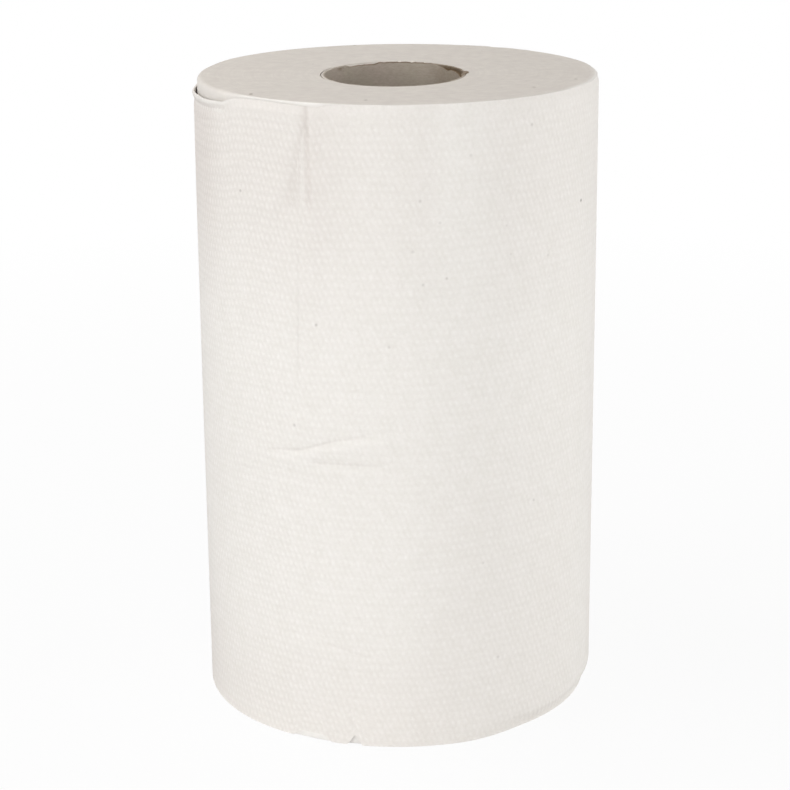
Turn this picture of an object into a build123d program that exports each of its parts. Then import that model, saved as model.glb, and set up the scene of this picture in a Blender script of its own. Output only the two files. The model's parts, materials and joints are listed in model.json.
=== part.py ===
"""Paper towel roll: one long web of towel paper wound on a paperboard core, standing on its end.

Lengths are millimetres. The axis is +Z and the base lies on z = 0. A bearing is an angle in degrees
about the axis, counted from the front (-Y) towards the right (+X).
"""
from build123d import *
from math import atan2, cos, degrees, radians, sin
import os

# The wound web
web_width = 203.0             # the roll's full height
roll_diameter = 128.0
rim_softness = 0.4            # width of the worn slope along the outer edge of both ends
tail_step = 0.3               # the ledge at the free end of the web
tail_bearing = 160.0          # the free end lies at the back

# The core, which the first turn is wound and glued on
core_diameter = 49.0          # outside
core_wall = 1.1
core_recess = 0.8             # each cut end lies this far inside the end of the web
nick_bearing = 98.0           # the torn place in the upper edge
nick_width = 5.0
nick_depth = 3.0

# The turns, as they show on both ends: one line for a band of many turns
band_pitch = 4.0              # outward growth of the spiral in one turn
band_margin = 2.5             # plain stretch left beside the core and inside the outer wrap
line_width = 0.5
line_depth = 0.3

# The outer wrap, which has come loose and slipped down on one side
wrap_thickness = 0.9
wrap_slip = 3.0               # greatest drop of its upper edge below the end of the web
slip_bearing = -95.0          # where it has dropped most
slip_spread = 75.0            # bearing from there, to either side, where the drop runs out
crevice_gap = 0.8             # greatest opening between the wrap and the turn behind it
crevice_spread = 45.0
crevice_depth = 14.0          # below the slipped edge

roll_radius = roll_diameter / 2
core_radius = core_diameter / 2
wrap_inner_radius = roll_radius - wrap_thickness


def toward(bearing):
    """Unit vector that points outward from the axis at a bearing."""
    return Vector(sin(radians(bearing)), -cos(radians(bearing)), 0)


def upright(radius, bottom, top):
    """Solid cylinder about the axis between two heights."""
    return Pos(0, 0, bottom) * Cylinder(radius, top - bottom, align=(Align.CENTER, Align.CENTER, Align.MIN))


def half_turn(section, radius, growth, height, side):
    """Half a turn of a spiral that grows outward by `growth` in each full turn.

    The section is drawn with its origin at the spiral line, x outward and y up. Side +1 sweeps it
    behind the axis and -1 in front of it, each about a centre shifted by a quarter of the growth.
    """
    centre = -side * growth / 4
    place = Plane((centre + radius, 0, height), x_dir=(1, 0, 0), z_dir=(0, -1, 0))
    return revolve(place * section, Axis((centre, 0, height), (0, 0, side)), 180)


def wound_body():
    """The web's outer form: one spiral turn with softened rims, ending in the ledge of the free end."""
    halves = []
    for side, radius in ((1, roll_radius - tail_step / 2), (-1, roll_radius)):
        section = Rectangle(radius, web_width, align=(Align.MAX, Align.MIN))
        section = chamfer(section.vertices().group_by(Axis.X)[-1], rim_softness)
        halves.append(half_turn(section, radius, tail_step, 0, side))
    return Rot(0, 0, tail_bearing - 90) * (halves[0] + halves[1])


def turn_lines(height):
    """V-shaped cutters along the spiral that shows on one end."""
    section = Polygon(
        (-line_width / 2, 0), (0, -line_depth), (line_width / 2, 0), (0, line_depth), align=None
    )
    radius = core_radius + band_margin
    side = 1
    halves = []
    while radius < wrap_inner_radius - band_margin:
        halves.append(half_turn(section, radius, band_pitch, height, side))
        radius += band_pitch / 2
        side = -side
    return halves


def slipped_edge():
    """What is missing of the outer wrap above its slanted upper edge."""
    reach = roll_radius * cos(radians(slip_spread))
    fall = degrees(atan2(wrap_slip, roll_radius - reach))
    out = toward(slip_bearing)
    hinge = out * reach + Vector(0, 0, web_width)
    level = Plane(hinge, x_dir=out, z_dir=(0, 0, 1))
    above = level * Rot(0, fall, 0) * Box(
        roll_diameter, 2 * roll_diameter, roll_diameter, align=(Align.MIN, Align.CENTER, Align.MIN)
    )
    base = web_width - 2 * wrap_slip
    top = web_width + wrap_slip
    ring = upright(roll_radius + wrap_thickness, base, top) - upright(wrap_inner_radius, base, top)
    return ring & above


def crevice():
    """Crescent gap between the loose wrap and the turn behind it."""
    first = toward(slip_bearing - crevice_spread) * wrap_inner_radius
    last = toward(slip_bearing + crevice_spread) * wrap_inner_radius
    middle = toward(slip_bearing)
    outer = ThreePointArc(first, middle * wrap_inner_radius, last)
    inner = ThreePointArc(last, middle * (wrap_inner_radius - crevice_gap), first)
    depth = wrap_slip + crevice_depth
    return Pos(0, 0, web_width - depth) * extrude(make_face([outer, inner]), depth)


def make_towel_roll():
    """The whole wound web: every turn, the lines on both ends and the loose outer wrap."""
    roll = wound_body() - upright(core_radius, 0, web_width)
    for height in (0, web_width):
        for line in turn_lines(height):
            roll -= line
    return roll - crevice() - slipped_edge()


def make_core_tube():
    """The paperboard core with the torn nick in its upper edge."""
    bottom = core_recess
    top = web_width - core_recess
    tube = upright(core_radius, bottom, top) - upright(core_radius - core_wall, bottom, top)
    tear = Polygon((-nick_width / 2, 0), (0, -nick_depth), (nick_width / 2, 0), align=None)
    out = toward(nick_bearing)
    face = Plane(Vector(0, 0, top), x_dir=Vector(0, 0, 1).cross(out), z_dir=out)
    return tube - extrude(face * tear, core_diameter)


os.makedirs("parts", exist_ok=True)
export_step(make_towel_roll(), "parts/towel_roll.step")
export_step(make_core_tube(), "parts/core_tube.step")
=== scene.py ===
import json

import bpy
import numpy as np
from mathutils import Matrix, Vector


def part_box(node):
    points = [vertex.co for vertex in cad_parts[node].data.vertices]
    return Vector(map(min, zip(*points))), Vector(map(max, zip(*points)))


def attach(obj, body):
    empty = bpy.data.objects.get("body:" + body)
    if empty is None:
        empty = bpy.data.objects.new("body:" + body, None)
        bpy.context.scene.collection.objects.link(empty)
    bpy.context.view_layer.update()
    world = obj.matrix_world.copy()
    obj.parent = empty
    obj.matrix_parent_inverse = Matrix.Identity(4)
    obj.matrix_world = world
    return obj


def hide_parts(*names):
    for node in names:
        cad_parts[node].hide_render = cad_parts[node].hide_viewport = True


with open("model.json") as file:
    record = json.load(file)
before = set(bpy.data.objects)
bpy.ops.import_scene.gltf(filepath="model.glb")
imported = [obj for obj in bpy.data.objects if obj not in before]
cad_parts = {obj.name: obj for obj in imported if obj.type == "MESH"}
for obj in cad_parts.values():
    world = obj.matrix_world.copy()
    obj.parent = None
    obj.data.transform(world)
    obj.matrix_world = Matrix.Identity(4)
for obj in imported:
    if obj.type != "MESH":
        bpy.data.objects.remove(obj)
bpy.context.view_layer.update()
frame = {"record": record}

# The core: a tube wound from slanted strips of grey-brown board and cut off with a blade, which leaves
# its upper edge ragged. At the right of the mouth the innermost ply has torn loose from the wall. The
# first turn of the web is glued round the outside.
core_low, core_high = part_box("core_tube")
core_outer = 1000 * core_high[0]
core_top = 1000 * core_high[2]
core_foot = 1000 * core_low[2]
core_bore = next(m["dims"]["r_mm"] for m in frame["record"]["mounts"] if m["name"] == "core_bore")
core_wall = core_outer - core_bore
web_height = 1000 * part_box("towel_roll")[1][2]
ply_thickness = 0.4
strip_width = 70.0            # of the board that the tube is wound from, measured along the axis
seam_width = 0.7
seam_depth = 0.12
mouth_oval = 0.064            # share by which the squeezed mouth is deeper than it is round, and narrower
mouth_shift = 0.6             # towards the left
mouth_reach = 45.0            # depth at which the core is round again
mouth_full = 3.0              # depth down to which it is squeezed in full
rim_lift = 0.2                # of the ragged edge over the plain cut, on average
rim_ragged = 0.06
rim_crown = 0.12              # by which the middle of the cut edge stands above its two sides
rim_fuzz = 0.05
rim_inset = 0.08
edge_band = 0.3               # height of the cut edge's pale band inside the mouth
torn_band = 0.45              # added to it where the ply is torn
dent_depth = 0.5
tip_steps = 9                 # points along a torn tip
tip_bow = 0.5
tip_bare = 0.8

# A place round the axis is a first and a last bearing, and how far it runs out beyond both, in degrees.
torn_place = (86, 134, 14)
dent_place = (-163, -143, 5)
left_place = (-125, -55, 25)
near_place = (-140, 140, 25)
# Painted shade: the bearings where the upper bore is made browner, where it lies in shade.
bore_shade_place = (98, 140, 20)
stain_bearing = -131

# Torn tips at the rim: bearing, width, inner and outer radius, both heights, thickness and whiteness.
torn_tips = [
    (91, 6.4, core_bore - 0.2, core_outer + 0.9, (core_top - 0.9, core_top + 0.4), 0.35, 0.0),
    (177, 0.8, core_bore + 0.2, core_outer - 0.1, (core_top, core_top + 0.3), 0.12, 0.8),
    (167, 1.2, core_bore + 0.1, core_outer - 0.2, (core_top - 0.1, core_top + 0.2), 0.12, 0.8),
    (157, 0.7, core_bore + 0.2, core_outer - 0.1, (core_top - 0.1, core_top + 0.2), 0.12, 0.8),
]


def ease(start, end, value):
    """Smooth step: 0 before start, 1 past end, and 3t^2 - 2t^3 of the share t between them."""
    t = np.clip((value - start) / (end - start), 0, 1)
    return t * t * (3 - 2 * t)


def stretch(value, first, last, soft):
    """Window: 1 from first to last, running out as a smooth step over `soft` beyond both."""
    return ease(first - soft, first, value) - ease(last, last + soft, value)


def bell(value, width):
    """Bell curve: e to the power of minus the square of value over width."""
    return np.exp(-(value / width) ** 2)


def wander(bearing, seed, slowest, fastest, falloff):
    """Seamless unevenness round the axis, about -1 to 1: a sum of cosines of the bearing with whole wave
    numbers from slowest to fastest and seeded phases, each weaker by its number to the power falloff."""
    orders = np.arange(slowest, fastest + 1)
    weights = orders ** -float(falloff)
    phases = np.random.default_rng(seed).uniform(0, 2 * np.pi, orders.size)
    waves = np.cos(np.radians(bearing)[..., None] * orders + phases) @ weights
    return waves / np.sqrt((weights ** 2).sum())


def around_axis(bearing, radius, height):
    """Points in metres at x = r sin(b), y = -r cos(b), z = h, from degrees and millimetres."""
    turn = np.radians(bearing)
    return np.stack(np.broadcast_arrays(radius * np.sin(turn), -radius * np.cos(turn), height), -1) / 1000


def stacked(parts, columns):
    """Joins the parts of a profile, one under the other. A part gives a radius, a height and its marks,
    and each of them is spread over the part's rows, as many as its heights, and over all columns."""
    spread = [[np.broadcast_to(value, (len(part[1]), columns)) for value in part] for part in parts]
    return [np.concatenate(kind) for kind in zip(*spread)]


def grid_faces(rows, columns, rows_meet, columns_meet, first=0):
    """Quads between neighbours on a grid of points numbered row by row. The rows run out over the upper
    end, down the outside and back up the inside, and the columns run towards rising bearings, so the
    corners (row, column), (next row, column), (next row, next column), (row, next column) face outward."""
    row = np.arange(rows if rows_meet else rows - 1)[:, None]
    column = np.arange(columns if columns_meet else columns - 1)[None, :]
    here = row * columns
    below = (row + 1) % rows * columns
    beside = (column + 1) % columns
    corners = [here + column, below + column, below + beside, here + beside]
    return first + np.stack(np.broadcast_arrays(*corners), -1).reshape(-1, 4)


def surface(name, points, faces, crisp_angle, **marks):
    """Smooth-shaded mesh object of points and faces, crisp where faces meet at more than an angle. Each
    mark is a value or a vector for every point, kept as an attribute that the material reads."""
    mesh = bpy.data.meshes.new(name)
    mesh.from_pydata(points.reshape(-1, 3).tolist(), [], [f for part in faces for f in part.tolist()])
    for label, values in marks.items():
        vector = values.ndim == 2
        layer = mesh.attributes.new(label, "FLOAT_VECTOR" if vector else "FLOAT", "POINT")
        layer.data.foreach_set("vector" if vector else "value", values.astype(np.float32).ravel())
    mesh.polygons.foreach_set("use_smooth", np.ones(len(mesh.polygons), bool))
    mesh.set_sharp_from_angle(angle=np.radians(crisp_angle))
    made = bpy.data.objects.new(name, mesh)
    bpy.context.collection.objects.link(made)
    return made


def squeezed(bearing, radius, height):
    """Radius near the upper mouth, which is pressed in from both sides: the round radius plus a share of
    it times cos(2b), and a small shift to the left, both running out with depth."""
    near_top = ease(web_height - mouth_reach, web_height - mouth_full, height)
    turn = np.radians(bearing)
    return radius * (1 + mouth_oval * near_top * np.cos(2 * turn)) - mouth_shift * near_top * np.sin(turn)


def core_profile(bearing):
    """Radius and height of the core's wall, row by row, with how bare and how pale the board is. The
    bareness also carries painted shade high in the bore at the right.

    The rows go out over the cut rim, down the outside, in under the foot and up the bore. The rim is a
    level with a seeded raggedness, less a dent. The bore has the seam of the strips, a bell-shaped groove
    where height / strip width + bearing / 360 is a whole number and a half. Where the inner ply is torn
    off, most at the near end, the last rows step out by its thickness below the pale cut edge; elsewhere
    they close up on the plain bore."""
    tear = stretch(bearing, *torn_place)
    missing = tear * (0.45 + 1.3 * ease(132, 92, bearing) + 0.2 * wander(bearing, 7, 6, 40, 0.5))
    dent = dent_depth * stretch(bearing, *dent_place)
    rim = core_top + rim_lift + rim_ragged * wander(bearing, 3, 5, 60, 0.4) - dent
    edge_foot = rim - edge_band - torn_band * tear
    ply_top = edge_foot - 0.15 - missing
    wall = core_bore + tear * ply_thickness

    across = np.linspace(0, 1, 6)[:, None]
    rim_radius = wall + rim_inset + (core_outer - wall - 2 * rim_inset) * across
    fuzz = rim_fuzz * wander(bearing, 11, 8, 90, 0.2) * np.sin(np.pi * across)
    rim_height = rim - rim_crown * (2 * across - 1) ** 2 + fuzz
    down = np.linspace(1, 0, 9)[:, None] ** 1.5
    outside_height = core_foot + 0.15 + (rim - 0.35 - core_foot) * down
    foot_radius = core_outer - 0.1 - (core_wall - 0.2) * across
    foot_height = core_foot + 0.05 * np.sin(np.pi * across)
    up = np.linspace(0, 1, 72)[:, None] ** 0.5
    climb = core_foot + 0.2 + (ply_top - 0.2 - core_foot) * up
    seam = (climb / strip_width + bearing / 360) % 1 - 0.5
    bore_radius = core_bore + seam_depth * bell(seam * strip_width, seam_width)
    lip_radius = core_bore + np.array([[0.5], [1.0]]) * tear * ply_thickness
    lip_height = ply_top + np.array([[0.04], [0.07]])
    torn = np.array([[0.1], [0.5], [0.95]])
    torn_radius = wall + 0.06 * tear * wander(bearing, 9, 10, 80, 0.3)
    torn_height = ply_top + 0.08 + (edge_foot - ply_top - 0.1) * torn
    edge_radius = wall - 0.12 * tear + np.array([[0.0], [0.03]])
    edge_height = edge_foot + (rim - rim_crown - edge_foot) * np.array([[0.15], [1.0]])

    left_side = stretch(bearing, *left_place)
    far_side = 1 - stretch(bearing, *near_place)
    rim_bare = 0.35 + 0.4 * far_side - 0.3 * left_side + 0.3 * tear
    rim_pale = (0.1 + 0.55 * left_side) * ease(0.3, 0.7, across)
    # Painted shade: browner board high in the bore at the right, where the inside lies in shade.
    bore_shade = 0.35 * stretch(bearing, *bore_shade_place) * ease(rim - 18, rim - 7, climb)
    stain = 0.7 * bell(bearing - stain_bearing, 3.0) * (climb > rim - 1.5)
    parts = [
        (rim_radius, rim_height, rim_bare, rim_pale),
        (core_outer, outside_height, 0.4, 0),
        (foot_radius, foot_height, 0.5, 0),
        (bore_radius, climb, bore_shade + stain, 0),
        (lip_radius, lip_height, tear, 0),
        (torn_radius, torn_height, tear, 0),
        (edge_radius, edge_height, rim_bare + 0.2 * tear, 0),
    ]
    radius, height, bare, pale = stacked(parts, bearing.size)
    return squeezed(bearing, radius, height), height, bare, pale


def tongue(bearing, width, start, end, heights, thickness):
    """A small torn tip: a flat strip that runs outward from radius `start` to `end` and from the first
    height to the second, bowed up as a half sine between them. Its width falls nearly to a point, as one
    minus the square of the share covered. Four rows close round it."""
    share = np.linspace(0, 1, tip_steps)[None, :]
    half = width / 2 * (1 - share ** 2) + 0.03
    across = np.array([[-1.0], [1.0], [1.0], [-1.0]])
    top = np.array([[1.0], [1.0], [0.0], [0.0]])
    radius = squeezed(bearing, start + (end - start) * share + 0 * across, web_height)
    middle = heights[0] + (heights[1] - heights[0]) * share + tip_bow * np.sin(np.pi * share)
    height = middle + thickness * (top - 0.5)
    return around_axis(bearing + np.degrees(across * half / radius), radius, height)


core_bearing = np.linspace(-180, 180, 720, endpoint=False)
core_radius, core_height, core_bare, core_pale = core_profile(core_bearing)
core_points = [around_axis(core_bearing, core_radius, core_height).reshape(-1, 3)]
core_faces = [grid_faces(*core_radius.shape, True, True)]
core_marks = [core_bare.ravel()]
core_fray = [core_pale.ravel()]
for *tip_shape, tip_white in torn_tips:
    tip = tongue(*tip_shape).reshape(-1, 3)
    count = sum(len(part) for part in core_points)
    root_cap = count + tip_steps * np.arange(4)[None, :]
    core_points.append(tip)
    core_faces.append(grid_faces(4, tip_steps, True, False, count)[:, ::-1])
    core_faces += [root_cap, root_cap[:, ::-1] + tip_steps - 1]
    core_marks.append(np.full(len(tip), tip_bare - tip_white))
    core_fray.append(np.full(len(tip), tip_white))
core = surface("core_board", np.concatenate(core_points), core_faces, 55,
               bare=np.concatenate(core_marks), fray=np.concatenate(core_fray))


def screen(red, green, blue):
    """Linear colour of the 0 to 255 values that a screen shows, by the usual screen curve."""
    share = np.array((red, green, blue)) / 255
    return (*np.where(share <= 0.04045, share / 12.92, ((share + 0.055) / 1.055) ** 2.4).tolist(), 1.0)


def put(tree, kind, inputs, **settings):
    """Adds a node to a material. Settings are the node's own choices, and each input takes a number, a
    colour or another node's output."""
    made = tree.nodes.new("ShaderNode" + kind)
    for name, value in settings.items():
        setattr(made, name, value)
    for name, value in inputs.items():
        if isinstance(value, bpy.types.NodeSocket):
            tree.links.new(value, made.inputs[name])
        else:
            made.inputs[name].default_value = value
    return made


def mark(tree, name):
    """Number that the mesh keeps for every point under a name."""
    return put(tree, "Attribute", {}, attribute_name=name).outputs["Fac"]


def blended(tree, share, first, second, way="MIX"):
    """Colour between first and second by a share, or first changed by second in the way named."""
    return put(tree, "Mix", {0: share, 6: first, 7: second}, data_type="RGBA", blend_type=way).outputs[2]


def reckon(tree, way, first, second=0.0, clamped=False):
    """Number from one arithmetic step on one or two numbers."""
    return put(tree, "Math", {0: first, 1: second}, operation=way, use_clamp=clamped).outputs[0]


def ranged(tree, value, low, high, to_low=0.0, to_high=1.0, way="LINEAR"):
    """Number spread so that low to high becomes to_low to to_high, and held there beyond."""
    inputs = {"Value": value, "From Min": low, "From Max": high, "To Min": to_low, "To Max": to_high}
    return put(tree, "MapRange", inputs, interpolation_type=way).outputs[0]


def cloudy(tree, place, scale, detail, low, high):
    """Noise at a scale per unit of `place`, spread so that low to high becomes 0 to 1."""
    noise = put(tree, "TexNoise", {"Vector": place, "Scale": scale, "Detail": detail, "Roughness": 0.6})
    return ranged(tree, noise.outputs[0], low, high)


def blank_material(name):
    """New material with its node tree, its Principled shader and the piece's own Object coordinates."""
    made = bpy.data.materials.new(name)
    made.use_nodes = True
    tree = made.node_tree
    return made, tree, tree.nodes["Principled BSDF"], put(tree, "TexCoord", {}).outputs["Object"]


def grey_board():
    """Grey liner with a greenish and a purplish cast in slow clouds, short upright fibres, brown where the
    liner is torn off and, as painted shade, high in the bore at the right, and near-white on the frayed
    bits of towel paper."""
    made, tree, shine, place = blank_material("grey_board")
    greenish, purplish = screen(181, 173, 158), screen(186, 173, 163)
    fibre_grey = screen(168, 157, 144)
    light_brown, dark_brown = screen(128, 110, 88), screen(92, 76, 56)
    frayed_white = screen(228, 222, 213)
    casts = blended(tree, cloudy(tree, place, 90, 3, 0.35, 0.65), greenish, purplish)
    fibres = put(tree, "Mapping", {"Vector": place, "Scale": (1, 1, 3)}).outputs[0]
    liner = blended(tree, cloudy(tree, fibres, 700, 5, 0.3, 0.7), casts, fibre_grey)
    brown = blended(tree, cloudy(tree, place, 1200, 4, 0.3, 0.7), light_brown, dark_brown)
    # The bare mark carries both torn board and painted shade.
    board = blended(tree, mark(tree, "bare"), liner, brown)
    tree.links.new(blended(tree, mark(tree, "fray"), board, frayed_white), shine.inputs["Base Color"])
    fuzz = cloudy(tree, place, 1800, 4, 0.2, 0.8)
    bump = put(tree, "Bump", {"Height": fuzz, "Strength": 0.35, "Distance": 0.0002})
    tree.links.new(bump.outputs[0], shine.inputs["Normal"])
    tree.links.new(ranged(tree, fuzz, 0.0, 1.0, 0.78, 0.95), shine.inputs["Roughness"])
    shine.inputs["Specular IOR Level"].default_value = 0.25
    return made


core.data.materials.append(grey_board())
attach(core, "root")
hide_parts("core_tube")

# The wound turns: some 330 turns of thin white towel paper wound tight on the core, seen as the close
# cut edges of the web on both ends. The knife leaves the edges smooth, greyer and warmer than the flat
# of the paper, and the outermost turns stand a little inside the loose wrap.
body_radius = 63.05           # of the rim of the wound turns, on average
body_shift = 0.5              # towards the right, away from the loose side
body_uneven = 0.05
rim_round = 0.5
worn_round = 0.9              # added to it at the upper left, where the wrap has slipped off the rim
rubbed_round = 0.5            # added to it at the right
mouth_sink = 0.5              # the turns lie this much lower beside the core than at the rim
end_sag = 0.1
glue_gap = 0.02               # between the first turn and the core
crack_width = 0.3             # added to it where the first turn has come off the core
band_pitch = 4.0              # one faint line for a band of many turns
band_relief = 0.03
end_rows = 96
lower_rows = 48
rub_rows = 4                  # rows of the end that are rubbed pale beside the rim
worn_rows = 6                 # rows of the side that are worn grey below the rim
side_inset = 0.25             # by which the side stands back behind the wrap, away from both rims
front_fill = 0.7              # by which the lowest turns bulge at the front, behind the wrap's raised edge
notch_gap = 0.45              # taken off it behind the notch
tuck_depth = 2.2
tuck_height = 6.5
tuck_uneven = 1.3
worn_place = (-105, -58, 16)
rubbed_place = (62, 90, 16)
crack_place = (-116, -64, 22)
front_place = (-42, 2, 14)
notch_place = (-15.5, -10.5, 2)
tuck_place = (42, 105, 25)

# Dark specks on the upper end: millimetres to the right and to the back, and depth of colour.
end_specks = [
    (-13.8, 60.7, 0.5), (-43.2, -41.8, 0.65), (55.6, -17.8, 0.3), (41.8, -32.8, 0.25), (-8.8, -54, 0.35),
]
speck_squeeze = 0.4           # a speck's width as a share of its depth


def tuck(bearing, height):
    """How far the paper is drawn in near the base at the right, where the corner has been knocked: a
    window of the bearing times a smooth step from an uneven height down to the floor."""
    start = tuck_height + tuck_uneven * wander(bearing, 41, 2, 11, 0.6)
    return tuck_depth * stretch(bearing, *tuck_place) * ease(start, 0, height)


def wound_profile(bearing):
    """Radius, height, cut-edge share and ring of the wound turns, row by row: out over the upper end, down
    the side, in under the lower end and up the bore.

    The rim is a circle shifted to the right with a small unevenness, rounded at both ends, and more where
    it is worn at the upper left and rubbed at the right. The ends carry a shallow spiral wave, the cosine
    of 2 pi w, where w is the radius over the band pitch less the turns round the axis, or plus them below.
    The share is 1 on the ends, runs out over the rim, lower down where it is worn, and is 0.6 in the bore.
    The ring is the radius in millimetres at which a place on an end was wound."""
    shifted = body_radius + body_shift * np.sin(np.radians(bearing))
    rim = shifted + body_uneven * wander(bearing, 21, 3, 24, 0.8)
    worn = stretch(bearing, *worn_place)
    rubbed = stretch(bearing, *rubbed_place)
    soft_rim = rim_round + worn_round * worn + rubbed_round * rubbed

    inside = np.array([3, 20, 60, 100, 140, 160, 170, 180, 188, 195, 199, 201.2, 202.1])[:, None]
    crack = glue_gap + crack_width * stretch(bearing, *crack_place) * ease(196, 202, inside)
    bore_radius = squeezed(bearing, core_outer + crack, inside)
    bore = bore_radius[-1] + 0.06

    out = np.linspace(0, 1, end_rows)[:, None]
    end_radius = bore + (rim - soft_rim - bore) * out
    end_ring = core_outer + (body_radius - core_outer) * out
    winding = end_ring / band_pitch - bearing / 360
    waves = band_relief * np.cos(2 * np.pi * winding) * np.sin(np.pi * out) ** 0.3
    sag = end_sag * wander(bearing, 23, 1, 5, 0.6) * np.sin(np.pi * out)
    end_height = web_height + waves + sag - mouth_sink * (1 - out) ** 1.6 - 0.1 * ease(0.03, 0, out)

    corner = np.radians([12, 24, 36, 48, 60, 72, 84])[:, None]
    rim_radius = rim - soft_rim * (1 - np.sin(corner))
    rim_height = web_height - soft_rim * (1 - np.cos(corner))
    plain_fade = np.linspace(0.9, 0, len(corner))[:, None]
    worn_fade = np.linspace(0.9, 0.55, len(corner))[:, None]
    rub = 1 - 0.75 * rubbed * np.linspace(0, 1, rub_rows + len(corner))[:, None]
    rim_share = (plain_fade * (1 - worn) + worn_fade * worn) * rub[rub_rows:]
    end_share = np.ones(end_radius.shape)
    end_share[-rub_rows:] = rub[:rub_rows]

    fall = np.array([2.2, 3, 4, 5.5, 7, 9, 12, 20, 60, 100, 140, 170, 186, 191, 196, 201])[:, None]
    side_height = web_height - fall
    fill = front_fill * stretch(bearing, *front_place) - notch_gap * stretch(bearing, *notch_place)
    inset = side_inset * stretch(fall, 12, 186, 6) - fill * ease(187, 192, fall)
    side_radius = rim - inset - tuck(bearing, side_height)
    side_share = np.zeros(side_radius.shape)
    side_share[:worn_rows] = worn * np.linspace(0.5, 0.4, worn_rows)[:, None]

    lower_corner = np.radians([70, 45, 20])[:, None]
    lower_edge = rim - tuck(bearing, 0) + fill
    lower_rim_radius = lower_edge - rim_round * (1 - np.sin(lower_corner))
    lower_rim_height = rim_round * (1 - np.cos(lower_corner))
    back = np.linspace(1, 0, lower_rows)[:, None]
    lower_radius = core_outer + 0.05 + (lower_edge - rim_round - core_outer) * back
    lower_ring = core_outer + (body_radius - core_outer) * back
    lower_winding = lower_radius / band_pitch + bearing / 360
    lower_waves = np.cos(2 * np.pi * lower_winding) * np.sin(np.pi * back) ** 0.3
    parts = [
        (end_radius, end_height, end_share, end_ring),
        (rim_radius, rim_height, rim_share, 0),
        (side_radius, side_height, side_share, 0),
        (lower_rim_radius, lower_rim_height, 0, 0),
        (lower_radius, band_relief * (1 + lower_waves), 1, lower_ring),
        (bore_radius, inside, 0.6, 0),
    ]
    return stacked(parts, bearing.size)


turn_bearing = np.linspace(-180, 180, 480, endpoint=False)
turn_radius, turn_height, turn_share, turn_ring = wound_profile(turn_bearing)
turn_points = around_axis(turn_bearing, turn_radius, turn_height)
turn_faces = [grid_faces(*turn_radius.shape, True, True)]
turns = surface("wound_turns", turn_points, turn_faces, 60,
                cut_edge=turn_share.ravel(), ring=turn_ring.ravel())


def fibre_bump(tree, place, shine, relief=0.0):
    """Fine crepe and fibre: two sizes of noise, in millimetres high, with a further relief, as bump, and
    the finer one as the spread of roughness. The shine is weak, with a little sheen."""
    crepe = reckon(tree, "MULTIPLY", cloudy(tree, place, 1100, 3, 0.25, 0.75), 0.06)
    fibre = cloudy(tree, place, 5200, 2, 0.25, 0.75)
    height = reckon(tree, "ADD", crepe, reckon(tree, "MULTIPLY", fibre, 0.01))
    height = reckon(tree, "ADD", height, relief)
    bump = put(tree, "Bump", {"Height": height, "Strength": 1.0, "Distance": 0.001})
    tree.links.new(bump.outputs[0], shine.inputs["Normal"])
    tree.links.new(ranged(tree, fibre, 0.0, 1.0, 0.86, 0.98), shine.inputs["Roughness"])
    shine.inputs["Specular IOR Level"].default_value = 0.2
    shine.inputs["Sheen Weight"].default_value = 0.1


def apart(tree, first, second):
    """Distance between two places."""
    return put(tree, "VectorMath", {0: first, 1: second}, operation="DISTANCE").outputs["Value"]


def cut_paper():
    """End of the wound turns: warm grey in fine rings, which are noise of the radius wound at, with slow
    clouds, a scatter of fine flecks, a few dark specks drawn out in depth, and the wrap's white on the
    side."""
    made, tree, shine, place = blank_material("cut_paper")
    light_ring, dark_ring, cloud_grey = screen(216, 209, 200), screen(210, 203, 194), screen(204, 196, 188)
    fleck_brown, speck_brown = screen(120, 104, 90), screen(140, 126, 112)
    thick_white, thin_white = screen(242, 239, 235), screen(238, 235, 230)
    drift = reckon(tree, "MULTIPLY", cloudy(tree, place, 40, 2, 0, 1), 1.2)
    wound = reckon(tree, "ADD", mark(tree, "ring"), drift)
    rings = put(tree, "TexNoise", {"W": wound, "Scale": 0.9, "Detail": 4.0}, noise_dimensions="1D")
    ends = blended(tree, ranged(tree, rings.outputs[0], 0.3, 0.7), light_ring, dark_ring)
    ends = blended(tree, cloudy(tree, place, 260, 5, 0.3, 0.7), ends, cloud_grey)
    flecks = put(tree, "TexVoronoi", {"Vector": place, "Scale": 130.0}, feature="F1")
    fleck = reckon(tree, "LESS_THAN", flecks.outputs["Distance"], 0.035)
    ends = blended(tree, reckon(tree, "MULTIPLY", fleck, 0.35), ends, fleck_brown)
    pressed = put(tree, "VectorMath", {0: place, 1: (1, speck_squeeze, 1)}, operation="MULTIPLY").outputs[0]
    for across, back, depth in end_specks:
        centre = (across / 1000, speck_squeeze * back / 1000, web_height / 1000)
        speck = ranged(tree, apart(tree, pressed, centre), 0.0008, 0.0003, 0.0, depth)
        ends = blended(tree, speck, ends, speck_brown)
    white = blended(tree, cloudy(tree, place, 220, 4, 0.3, 0.7), thick_white, thin_white)
    tree.links.new(blended(tree, mark(tree, "cut_edge"), white, ends), shine.inputs["Base Color"])
    fibre_bump(tree, place, shine)
    return made


turns.data.materials.append(cut_paper())
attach(turns, "root")
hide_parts("towel_roll")

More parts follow.
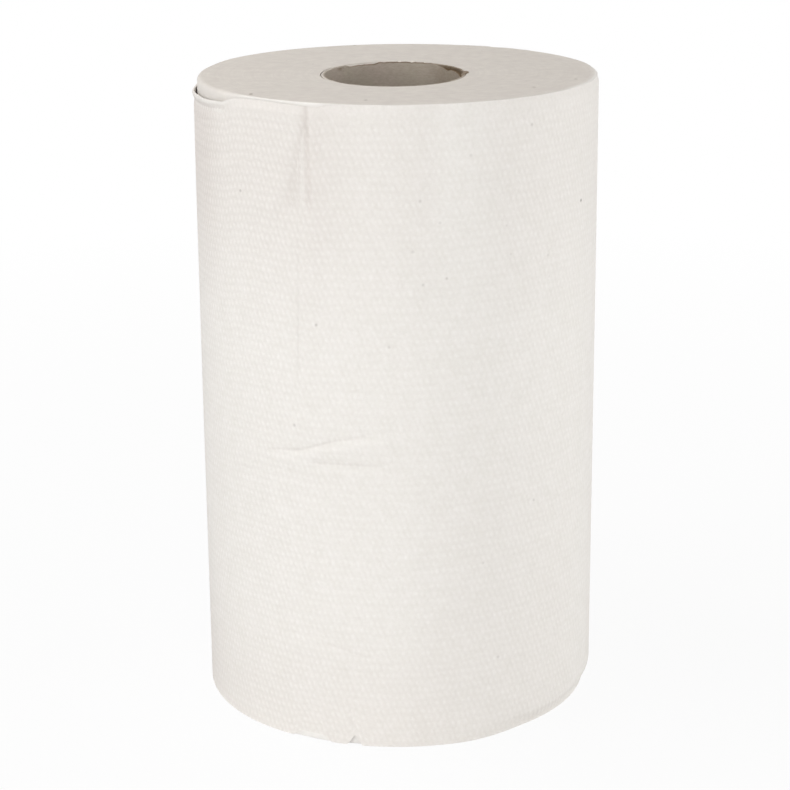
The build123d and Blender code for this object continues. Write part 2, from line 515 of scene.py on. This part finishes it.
# The outer wrap: the last turn of the web, embossed with staggered dots. It has come loose, slipped down
# at the upper left with its edge curled outward, and taken creases and crumples from handling. Its free
# end lies flat at the back.
roll_radius = 64.0
wrap_thickness = 0.28
wrap_start = -204.0           # bearing where the strip goes in under its own free end
wrap_end = 160.0              # bearing of the free end
wrap_step = 0.3               # growth of the spiral in one turn
wrap_proud = 0.075            # the dots' middle level over the spiral
under_end = (-199.5, -201)    # bearings between which the strip sinks under its free end
under_sink = 0.12
dot_pitch = 1.98
row_pitch = web_height / 83
dot_relief = 0.055
dot_lean = 0.4                # towards the left, as a share of the dots
dot_sway = 1.3                # of the drawn rows, in millimetres
fine_relief = 0.038           # of the drawn dots, as bump
wrap_columns = 617            # three for every dot
row_runs = [(web_height, 194, 14), (194, 109, 52), (109, 88, 26), (88, 8, 49), (8, 0, 8)]
inside_bulge = 0.25           # by which the sheet is thicker, inward, on its loose side
bulge_place = (-130, -62, 12)
edge_ragged = 0.04
lift_reach = 25.0             # height over which the raised lower edge runs out
arch_height = 2.2
arch_place = (-29, -23, 3.5)
notch_height = 3.5
notch_bearing = -13.0
notch_half = 2.1              # half its width at the floor, in degrees

# The slipped upper edge: a bearing and the drop below the end of the web.
slip_places = np.array([
    (-204, 0.1), (-170, 0.3), (-140, 1.3), (-112, 2.3), (-100, 3.0), (-92, 3.7), (-84, 4.0), (-76, 4.0),
    (-71, 3.9), (-67, 4.0), (-63, 3.7), (-60, 3.4), (-57, 3.2), (-55, 3.1), (-54, 2.8), (-53, 2.4),
    (-51, 1.7), (-49, 1.2), (-46, 0.8), (-42, 0.6), (-37, 0.6), (-32, 0.8), (-27, 1.1), (-23, 1.2),
    (-21, 1.1), (-19, 0.5), (-16, 0.2), (-10, 0.12), (58, 0.1), (78, 0.3), (96, 0.5), (115, 0.4),
    (138, 0.12), (160, 0.1),
])

# Creases: bearings and heights along the line, depth and width of the valley, height of the ridge beside
# it, and how far the ridge lies to the left of the line as it is drawn.
creases = [
    ([(-24.1, 203.5), (-29.4, 180.6), (-36.8, 158.1), (-38.2, 140)], 0.32, 1.2, 0.3, -2.6),
    ([(-24.1, 205), (-24.1, 189.1), (-23.8, 174.0)], 0.34, 1.0, 0.2, 2.2),
    ([(-22.3, 173), (-9.6, 179.2), (-0.3, 183.7), (5.4, 185.7)], 0.2, 1.6, 0.14, -2.8),
    ([(-27.5, 170), (-27.6, 146), (-28.4, 122.4), (-30.3, 92)], 0.3, 1.1, 0.25, 2.4),
    ([(-40, 94.2), (-30, 95.8), (-20, 99.8), (-12.5, 101.8), (2, 103.4)], 0.3, 1.6, 0.5, -3.4),
    ([(-31, 92.6), (-20, 92.7), (-3, 92.6)], 0.28, 1.6, 0.3, -3.2),
    ([(-33, 34.6), (-19.6, 34.3), (-13.2, 31.0), (0, 27.6)], 0.24, 1.7, 0.3, -3.6),
    ([(-79, 177.4), (-59.7, 182.0), (-46, 186.4)], 0.2, 1.6, 0.14, -2.8),
    ([(-76, 191.8), (-70, 193), (-60, 193.4)], 0.1, 1.5, 0.0, 3.0),
    ([(-30, 1), (-27, 9), (-25, 20), (-26, 30)], 0.26, 1.3, 0.22, 2.5),
    ([(-13, 2), (-13.4, 10), (-15, 17)], 0.4, 1.1, 0.26, 2.2),
]
wedge_depth = 0.45            # of the hollow between the first two creases

# Painted shade on the paper: share and place round the axis, and for the lower part the heights where it
# starts and where it is full.
upper_shade = [(0.55, (-112, -70, 18)), (0.5, (-118, -30, 24)), (0.25, (-20, 6, 8)), (0.25, (34, 72, 18))]
lower_shade = [(0.15, (-140, -80, 22), 60, 15), (0.18, (18, 48, 18), 120, 20), (0.3, (-80, 2, 20), 50, 5)]
edge_shade = 0.35
edge_shade_place = (-140, -84, 9)

# Sharp folds: bearing and height of both ends, and depth in millimetres, which also sets how dark the
# painted shade along them is.
folds = [
    (-40, 94.4, -27, 96.8, 0.09), (-32, 95.2, -18, 100.6, 0.12), (-22, 99.2, -8, 102.6, 0.09),
    (-27, 93.2, -3, 93.0, 0.11), (-27.5, 172, -27.6, 148, 0.04), (-27.6, 150, -28.4, 118, 0.07),
    (-25, 34.9, -7, 29.7, 0.06), (-76, 195.3, -62, 197.0, 0.07), (-24.3, 205, -24.2, 192, 0.12),
]
fold_width = 0.8

# Dark specks: bearing, height, size in millimetres and depth of colour.
wrap_specks = [
    (62.5, 167.5, 0.55, 0.8), (39.0, 194.7, 0.6, 0.24), (20.0, 187.5, 0.57, 0.15), (6.2, 174.7, 0.52, 0.19),
    (11.5, 168.0, 0.52, 0.15), (4.2, 159.5, 0.57, 0.17), (45.7, 153.8, 0.57, 0.15),
    (32.2, 156.4, 0.46, 0.15), (30.8, 165.4, 0.46, 0.12), (13.3, 151.1, 0.52, 0.22),
    (6.9, 149.4, 0.52, 0.19), (46.2, 147.1, 0.46, 0.12),
    (-22.4, 137.0, 0.54, 0.3), (-2.3, 130.5, 0.52, 0.15), (-29.8, 104.1, 0.57, 0.22),
    (-47.4, 174.9, 0.55, 0.3), (41.1, 76.4, 0.52, 0.19), (28.8, 27.0, 0.57, 0.19), (23.9, 59.5, 0.46, 0.12),
    (118, 144, 0.57, 0.25), (-134, 88, 0.52, 0.25), (171, 121, 0.57, 0.22), (-160, 41, 0.46, 0.19),
    (140, 52, 0.57, 0.25), (-104, 131, 0.46, 0.19),
]


def along_wrap(bearing):
    """Millimetres round the roll at its radius, from the front."""
    return np.radians(bearing) * roll_radius


def slipped(bearing):
    """Drop of the wrap's upper edge below the end of the web, straight between the places of the table,
    with a fine raggedness: most at the left, a short steep rise beside it, then a low ledge that runs out
    before the front, and a shallow dip at the right."""
    return np.interp(bearing, *slip_places.T) + edge_ragged * wander(bearing, 35, 20, 70, 0.3)


def raised(bearing):
    """Height of the wrap's lower edge above the floor: a low arch, a window of the bearing, and a pinched
    notch, a straight-sided peak, both at the front."""
    arch = arch_height * stretch(bearing, *arch_place)
    notch = notch_height * np.clip(1 - np.abs(bearing - notch_bearing) / notch_half, 0, 1)
    return arch + notch


def off_line(across, up, path):
    """Signed distance of every point from a bent line, positive on its left as it is drawn, and the share
    of the line's length passed at the nearest place. Each straight run is tried in turn and the nearest
    one kept."""
    path = np.array(path, float)
    steps = np.diff(path, axis=0)
    lengths = np.hypot(steps[:, 0], steps[:, 1])
    passed = np.concatenate(([0], np.cumsum(lengths)))
    nearest = np.full(across.shape, np.inf)
    side = np.zeros(across.shape)
    along = np.zeros(across.shape)
    for start, step, length, before in zip(path, steps, lengths, passed):
        share = ((across - start[0]) * step[0] + (up - start[1]) * step[1]) / length ** 2
        share = np.clip(share, 0, 1)
        off_across = across - start[0] - share * step[0]
        off_up = up - start[1] - share * step[1]
        gap = np.hypot(off_across, off_up)
        closer = gap < nearest
        side = np.where(closer, np.sign(step[0] * off_up - step[1] * off_across) * gap, side)
        along = np.where(closer, before + share * length, along)
        nearest = np.minimum(gap, nearest)
    return side, along / passed[-1]


def crease(bearing, up, path, valley, width, ridge, ridge_off):
    """Relief of a crease drawn in degrees and millimetres: a bell-shaped valley along the line, and a
    ridge 0.7 times as wide as its distance from the line on one side, both running out at the line's two
    ends as the sine of pi times the share passed, to the power 0.7."""
    drawn = [(along_wrap(b), h) for b, h in path]
    side, along = off_line(along_wrap(bearing), up, drawn)
    ends = np.sin(np.pi * along) ** 0.7
    return ends * (ridge * bell(side - ridge_off, 0.7 * abs(ridge_off)) - valley * bell(side, width))


def handling(bearing, up):
    """All creases of the wrap added up, in millimetres outward, less the hollow of the folded wedge below
    the front rim, which is a window of the bearing between two slanted sides."""
    relief = sum(crease(bearing, up, *drawn) for drawn in creases)
    left_side = np.interp(up, [150, 175, 203], [-37.0, -30.5, -24.6])
    right_side = np.interp(up, [165, 189, 203], [-22.8, -23.8, -24.0])
    hollow = stretch(bearing, left_side + 1.2, right_side - 1.2, 1.2) * stretch(up, 172, 196, 8)
    return relief - wedge_depth * hollow


def greyed(bearing, up):
    """How much shade is painted on the paper, 0 to 1: the upper part, most at the left and not on the
    curled edge, the left side, the lower part, and the hollow of the folded wedge with a darker painted
    shadow line at its right."""
    below_edge = web_height - slipped(bearing) - up
    curled = bell(below_edge - 0.4, 1.0) * stretch(bearing, -100, -54, 8)
    upper = np.minimum(sum(share * stretch(bearing, *place) for share, place in upper_shade), 1)
    upper = upper * ease(120, 188, up) * (1 - 0.85 * curled)
    # Painted shade along the left side of the roll.
    edge = edge_shade * stretch(bearing, *edge_shade_place)
    lower = sum(share * stretch(bearing, *place) * ease(start, full, up)
                for share, place, start, full in lower_shade)
    left_line = np.interp(up, [172, 182, 193, 203], [-31.5, -29.0, -26.5, -24.6])
    right_line = np.interp(up, [168, 189, 203], [-23.3, -23.8, -24.2])
    # Painted shade in the hollow of the folded wedge, and a darker painted shadow line at its right side.
    wedge = 0.28 * stretch(bearing, left_line, right_line, 0.7) * stretch(up, 175, 198, 6)
    darkness = 0.12 + 0.2 * ease(186, 196, up)
    dark_line = darkness * bell(bearing - right_line + 0.4, 0.7) * stretch(up, 175, 203, 6)
    return np.clip(upper + edge + lower + (wedge + dark_line), 0, 1)


def curl(bearing, below_edge):
    """Outward curl of the slipped edge at the left, a bell of the distance below the edge, with a shallow
    valley under it. Further round to the back the edge lies close to the turns. From the front to the
    right it rounds off inward, most at the right, where the rim is rubbed."""
    loose = stretch(bearing, -82, -58, 9)
    lip = 0.4 * bell(below_edge - 0.6, 1.1) - 0.3 * bell(below_edge - 2.7, 1.0)
    close = 0.7 * stretch(bearing, -165, -94, 14) * ease(30, 4, below_edge)
    rounded = 0.1 + 0.22 * stretch(bearing, -44, 40, 18) + 0.32 * stretch(bearing, 64, 104, 16)
    shoulder = rounded * stretch(bearing, -44, 120, 10) * ease(2.6, 0.1, below_edge)
    return loose * lip - close - shoulder


def emboss(across, up):
    """Height of the staggered dots, -1 to 1: cos(a) cos(b) less a share of sin(a) sin(b), by which they
    lean, with a = 2 pi s / dot pitch and b = pi h / row pitch."""
    turn = 2 * np.pi * across / dot_pitch
    climb = np.pi * up / row_pitch
    return np.cos(turn) * np.cos(climb) - dot_lean * np.sin(turn) * np.sin(climb)


def wrap_surface(bearing, paper_height):
    """Radius and height of the wrap's outer face. The paper's own height is drawn in below the slipped
    upper edge, and lifted near the base by the raised lower edge times the square of one minus its share
    of the lift's reach. The radius is the spiral of the last turn plus the dots, two slow waves, the
    creases and the curl, less the tuck at the base. The dots, waves and creases run out at both ends
    of the strip."""
    paper_height = paper_height[:, None]
    top = web_height - slipped(bearing)
    lift = raised(bearing) * np.clip(1 - paper_height / lift_reach, 0, 1) ** 2
    height = top * paper_height / web_height + lift
    press = ease(0, 3, np.minimum(bearing - wrap_start, wrap_end - bearing))
    tall_wave = 0.07 * wander(bearing, 31, 2, 9, 0.5) * np.cos(np.pi * height / 150 + 0.6)
    short_wave = 0.05 * wander(bearing, 33, 3, 14, 0.4) * np.sin(np.pi * height / 61)
    dots = dot_relief * emboss(along_wrap(bearing), paper_height)
    spiral = roll_radius + wrap_proud - wrap_step * (wrap_end - bearing) / 360
    spiral = spiral - under_sink * ease(*under_end, bearing)
    relief = dots + (tall_wave + short_wave) + handling(bearing + 0 * height, height)
    return spiral + press * relief + curl(bearing, top - height) - tuck(bearing, height), height


# The outer face has close rows. The inner face has four, and each end of the strip is closed by triangles
# from the outer rows to the nearest of them.
wrap_bearing = np.linspace(wrap_start, wrap_end, wrap_columns)
wrap_runs = [np.linspace(above, below, steps, endpoint=False) for above, below, steps in row_runs]
wrap_paper = np.concatenate(wrap_runs + [[0.0]])
wrap_rows = wrap_paper.size
outer_radius, outer_height = wrap_surface(wrap_bearing, wrap_paper)
inner_rows = np.array([wrap_rows - 1, 100, 50, 0])
bulge = inside_bulge * stretch(wrap_bearing, *bulge_place)
inner_radius = outer_radius[inner_rows] - wrap_thickness - bulge
sheet_radius = np.concatenate((outer_radius, inner_radius))
sheet_height = np.concatenate((outer_height, outer_height[inner_rows]))
strip = np.arange(wrap_rows)
nearest_inner = wrap_rows + np.array([3, 2, 1, 0])[np.searchsorted([25, 75, 125], strip)]
fan = np.stack((strip[:-1], nearest_inner[:-1], strip[1:]), -1)
jumps = np.flatnonzero(np.diff(nearest_inner))
bridges = np.stack((strip[jumps + 1], nearest_inner[jumps], nearest_inner[jumps + 1]), -1)
cap = np.concatenate((fan, bridges)) * wrap_columns
wrap_grid = grid_faces(wrap_rows + inner_rows.size, wrap_columns, True, False)
wrap_faces = [wrap_grid, cap, cap[:, ::-1] + wrap_columns - 1]
sheet_up = np.concatenate((wrap_paper, wrap_paper[inner_rows]))[:, None]
on_sheet = np.stack(np.broadcast_arrays(along_wrap(wrap_bearing), sheet_up, 0.0), -1)
wrap_points = around_axis(wrap_bearing, sheet_radius, sheet_height)
# The mesh keeps the painted shade on the paper as a mark.
wrap = surface("outer_wrap", wrap_points, wrap_faces, 60,
               sheet=on_sheet.reshape(-1, 3), greyed=greyed(wrap_bearing, sheet_height).ravel())


def dot_pattern(tree, sheet, shade_share):
    """The dots of emboss and their rows, cos(2b), as they are drawn on the sheet, each about -1 to 1.

    The sheet is bent by slow noise first, so that no row is quite straight. Both are stronger and weaker
    in slow clouds, stronger where shade is painted on the paper, weaker from the front to the right, and
    faint along the upper edge."""
    sway = put(tree, "TexNoise", {"Vector": sheet, "Scale": 0.3, "Detail": 2.0}).outputs["Color"]
    bend = {0: sway, 1: (dot_sway, dot_sway, 0), 2: sheet}
    bent = put(tree, "VectorMath", bend, operation="MULTIPLY_ADD").outputs[0]
    drawn = put(tree, "SeparateXYZ", {0: bent}).outputs
    across = reckon(tree, "SUBTRACT", drawn["X"], dot_sway / 2)
    up = reckon(tree, "SUBTRACT", drawn["Y"], dot_sway / 2)
    turn = reckon(tree, "MULTIPLY", across, 2 * np.pi / dot_pitch)
    climb = reckon(tree, "MULTIPLY", up, np.pi / row_pitch)
    upright = reckon(tree, "MULTIPLY", reckon(tree, "COSINE", turn), reckon(tree, "COSINE", climb))
    leaning = reckon(tree, "MULTIPLY", reckon(tree, "SINE", turn), reckon(tree, "SINE", climb))
    dots = reckon(tree, "SUBTRACT", upright, reckon(tree, "MULTIPLY", leaning, dot_lean))
    rows = reckon(tree, "COSINE", reckon(tree, "MULTIPLY", climb, 2.0))
    strength = ranged(tree, cloudy(tree, sheet, 0.4, 2, 0.3, 0.7), 0.0, 1.0, 0.35, 1.4)
    strength = reckon(tree, "ADD", strength, reckon(tree, "MULTIPLY", shade_share, 0.55))
    flatter = ranged(tree, drawn["X"], -38.0, -8.0, 1.0, 0.72)
    top_fade = ranged(tree, drawn["Y"], web_height, web_height - 6, 0.2, 1.0)
    strength = reckon(tree, "MULTIPLY", strength, reckon(tree, "MULTIPLY", flatter, top_fade))
    return reckon(tree, "MULTIPLY", dots, strength), reckon(tree, "MULTIPLY", rows, strength)


def fold_line(tree, sheet, start, end, width):
    """Thin line between two places on the sheet: 1 along it, falling to 0 at a width from it and towards
    both ends. The distance is taken to the nearest place on the line, as in off_line."""
    way = np.subtract(end, start)
    offset = put(tree, "VectorMath", {0: sheet, 1: (*start, 0)}, operation="SUBTRACT").outputs[0]
    passed = {0: offset, 1: (*way / way.dot(way), 0)}
    along = put(tree, "VectorMath", passed, operation="DOT_PRODUCT").outputs["Value"]
    along = reckon(tree, "MULTIPLY", along, 1.0, True)
    nearest = put(tree, "VectorMath", {0: (*way, 0), "Scale": along}, operation="SCALE").outputs[0]
    line = ranged(tree, apart(tree, offset, nearest), width, 0.0, way="SMOOTHSTEP")
    left_over = reckon(tree, "MINIMUM", along, reckon(tree, "SUBTRACT", 1.0, along))
    return reckon(tree, "MULTIPLY", line, reckon(tree, "MULTIPLY", left_over, 5.0, True))


def embossed_paper():
    """Flat of the towel paper: warm white with slow clouds of thicker and thinner stock, with painted
    shade from the mesh's mask, a fine grain and a faint painted shade in the valleys between the dots.
    The dark specks of recycled stock and the sharp folds, with painted shade along them, lie at their
    places on the sheet. Dots, folds and fibre add fine bump to the mesh's own relief."""
    made, tree, shine, place = blank_material("embossed_paper")
    thick_white, thin_white = screen(245, 242, 238), screen(241, 238, 233)
    shade_grey = screen(229, 223, 218)
    grain_tint, valley_shade = (0.95, 0.945, 0.939, 1), (0.936, 0.93, 0.923, 1)
    speck_brown, fold_shade = screen(104, 92, 82), screen(205, 199, 192)
    sheet = put(tree, "Attribute", {}, attribute_name="sheet").outputs["Vector"]
    shade_share = mark(tree, "greyed")
    white = blended(tree, cloudy(tree, place, 220, 4, 0.3, 0.7), thick_white, thin_white)
    # Painted shade: the paper is darkened towards a pinkish grey by the mesh's mask.
    white = blended(tree, shade_share, white, shade_grey)
    white = blended(tree, cloudy(tree, place, 1000, 3, 0.32, 0.72), white, grain_tint, "MULTIPLY")

    dots, rows = dot_pattern(tree, sheet, shade_share)
    # Painted shade: the valleys between the dots are made a little darker.
    crowns = ranged(tree, reckon(tree, "ADD", dots, reckon(tree, "MULTIPLY", rows, 0.55)), -1.25, 1.6)
    valleys = reckon(tree, "SUBTRACT", 1.0, reckon(tree, "POWER", crowns, 1.5))
    white = blended(tree, valleys, white, valley_shade, "MULTIPLY")
    bumps = reckon(tree, "ADD", dots, reckon(tree, "MULTIPLY", rows, 0.35))
    relief = reckon(tree, "MULTIPLY", bumps, fine_relief)

    for bearing, height, size, depth in wrap_specks:
        gap = apart(tree, sheet, (along_wrap(bearing), height, 0))
        speck = ranged(tree, gap, 1.4 * size, 0.1 * size, 0.0, depth, "SMOOTHSTEP")
        white = blended(tree, speck, white, speck_brown)
    for from_bearing, from_height, to_bearing, to_height, depth in folds:
        start = (along_wrap(from_bearing), from_height)
        end = (along_wrap(to_bearing), to_height)
        line = fold_line(tree, sheet, start, end, fold_width)
        relief = reckon(tree, "SUBTRACT", relief, reckon(tree, "MULTIPLY", line, depth))
        # Painted shade along each fold line.
        white = blended(tree, reckon(tree, "MULTIPLY", line, 2 * depth), white, fold_shade)
    tree.links.new(white, shine.inputs["Base Color"])
    fibre_bump(tree, place, shine, relief)
    return made


wrap.data.materials.append(embossed_paper())
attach(wrap, "root")
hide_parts("towel_roll")

# The floor is a plain pale sheet that the roll stands on. The camera sees it as nearly white, with a part
# of its own shading kept near the roll, so that the shadow stays, and running out to plain white.
floor_half = 6.0
floor_near, floor_far = 0.12, 0.7     # metres from the axis between which the shading runs out
floor_near_white = 0.92
floor_x = np.array([-1, 1, 1, -1]) * floor_half
floor_y = np.array([-1, -1, 1, 1]) * floor_half
floor_mesh = bpy.data.meshes.new("floor")
floor_mesh.from_pydata(np.stack((floor_x, floor_y, 0 * floor_x), -1).tolist(), [], [(0, 1, 2, 3)])
floor = bpy.data.objects.new("floor", floor_mesh)
bpy.context.collection.objects.link(floor)


def seen_directly(tree):
    """1 for what the camera, a reflection or a clear body sees, and 0 for light on its way to a surface."""
    path = put(tree, "LightPath", {}).outputs
    either = reckon(tree, "MAXIMUM", path["Is Camera Ray"], path["Is Glossy Ray"])
    return reckon(tree, "MAXIMUM", either, path["Is Transmission Ray"])


floor_paper, floor_tree, floor_shine, floor_place = blank_material("floor_paper")
floor_shine.inputs["Base Color"].default_value = (0.85, 0.85, 0.85, 1)
floor_shine.inputs["Roughness"].default_value = 1.0
floor_shine.inputs["Specular IOR Level"].default_value = 0.0
floor_white = put(floor_tree, "Emission", {"Color": (1, 1, 1, 1), "Strength": 1.0})
floor_gap = put(floor_tree, "VectorMath", {0: floor_place}, operation="LENGTH").outputs["Value"]
floor_whitening = ranged(floor_tree, floor_gap, floor_near, floor_far, floor_near_white, 1.0)
floor_share = reckon(floor_tree, "MULTIPLY", seen_directly(floor_tree), floor_whitening)
floor_mix = put(floor_tree, "MixShader", {1: floor_shine.outputs[0], 2: floor_white.outputs[0]})
floor_tree.links.new(floor_share, floor_mix.inputs[0])
floor_tree.links.new(floor_mix.outputs[0], floor_tree.nodes["Material Output"].inputs["Surface"])
floor_mesh.materials.append(floor_paper)

# Soft studio light: an even pale room, which the camera sees as white, and seven square soft lamps that
# stand round the roll and face the middle of it, the strongest in front.
room_strength = 0.2
lamp_aim = 0.1                # height above the floor, in metres, that the lamps face
room = bpy.data.worlds.new("room")
bpy.context.scene.world = room
room.use_nodes = True
room_tree = room.node_tree
room_light = room_tree.nodes["Background"]
room_light.inputs["Color"].default_value = (1, 1, 1, 1)
room_light.inputs["Strength"].default_value = room_strength
room_white = put(room_tree, "Background", {"Color": (1, 1, 1, 1), "Strength": 1.0})
room_mix = put(room_tree, "MixShader", {1: room_light.outputs[0], 2: room_white.outputs[0]})
room_tree.links.new(seen_directly(room_tree), room_mix.inputs[0])
room_tree.links.new(room_mix.outputs[0], room_tree.nodes["World Output"].inputs["Surface"])


def soft_lamp(name, bearing, elevation, distance, size, power):
    """Square area lamp at a bearing and elevation from the middle of the roll, turned towards it."""
    light = bpy.data.lights.new(name, "AREA")
    light.shape = "SQUARE"
    light.size = size
    light.energy = power
    lamp = bpy.data.objects.new(name, light)
    rise, turn = np.radians(elevation), np.radians(bearing)
    back = np.array((np.cos(rise) * np.sin(turn), -np.cos(rise) * np.cos(turn), np.sin(rise)))
    right = np.array((np.cos(turn), np.sin(turn), 0))
    upward = np.cross(back, right)
    place = back * distance + np.array((0, 0, lamp_aim))
    pose = np.eye(4)
    pose[:3] = np.stack((right, upward, back, place), 1)
    lamp.matrix_world = Matrix(pose.tolist())
    bpy.context.collection.objects.link(lamp)


# Bearing and elevation in degrees, distance and size in metres, power in watts.
soft_lamp("left_lamp", -45, 35, 1.8, 1.2, 3.7)
soft_lamp("low_left_lamp", -58, 7, 1.8, 0.6, 6.9)
soft_lamp("front_lamp", 4, 15, 2.0, 1.2, 13.5)
soft_lamp("right_lamp", 62, 22, 1.8, 1.2, 7.0)
soft_lamp("right_edge_lamp", 105, 8, 1.5, 0.6, 6.8)
soft_lamp("near_lamp", -90, 66, 0.7, 0.4, 2.15)
soft_lamp("back_lamp", 180, 8, 1.8, 0.6, 6.0)

# The camera stands about 72 cm in front of the roll's axis and 31 cm above the floor, with a long lens,
# and looks down at the roll by 17 degrees. Angles are in radians.
camera_data = bpy.data.cameras.new("camera")
camera_data.sensor_width = 36.0
camera_data.lens = 103.7
camera = bpy.data.objects.new("camera", camera_data)
camera_place = (0.0, -0.71772, 0.31196)
camera_yaw, camera_pitch, camera_roll = 0.00138, 0.29179, 0.00805
yaw = Matrix.Rotation(camera_yaw, 3, "Z")
pitch = Matrix.Rotation(-camera_pitch, 3, "X")
tilt = Matrix.Rotation(camera_roll, 3, "Y")
level = Matrix(((1, 0, 0), (0, 0, -1), (0, 1, 0)))
stand = (yaw @ pitch @ tilt) @ level
camera.matrix_world = Matrix.Translation(camera_place) @ stand.to_4x4()
bpy.context.collection.objects.link(camera)
bpy.context.scene.camera = camera
bpy.context.scene.view_settings.view_transform = "Standard"
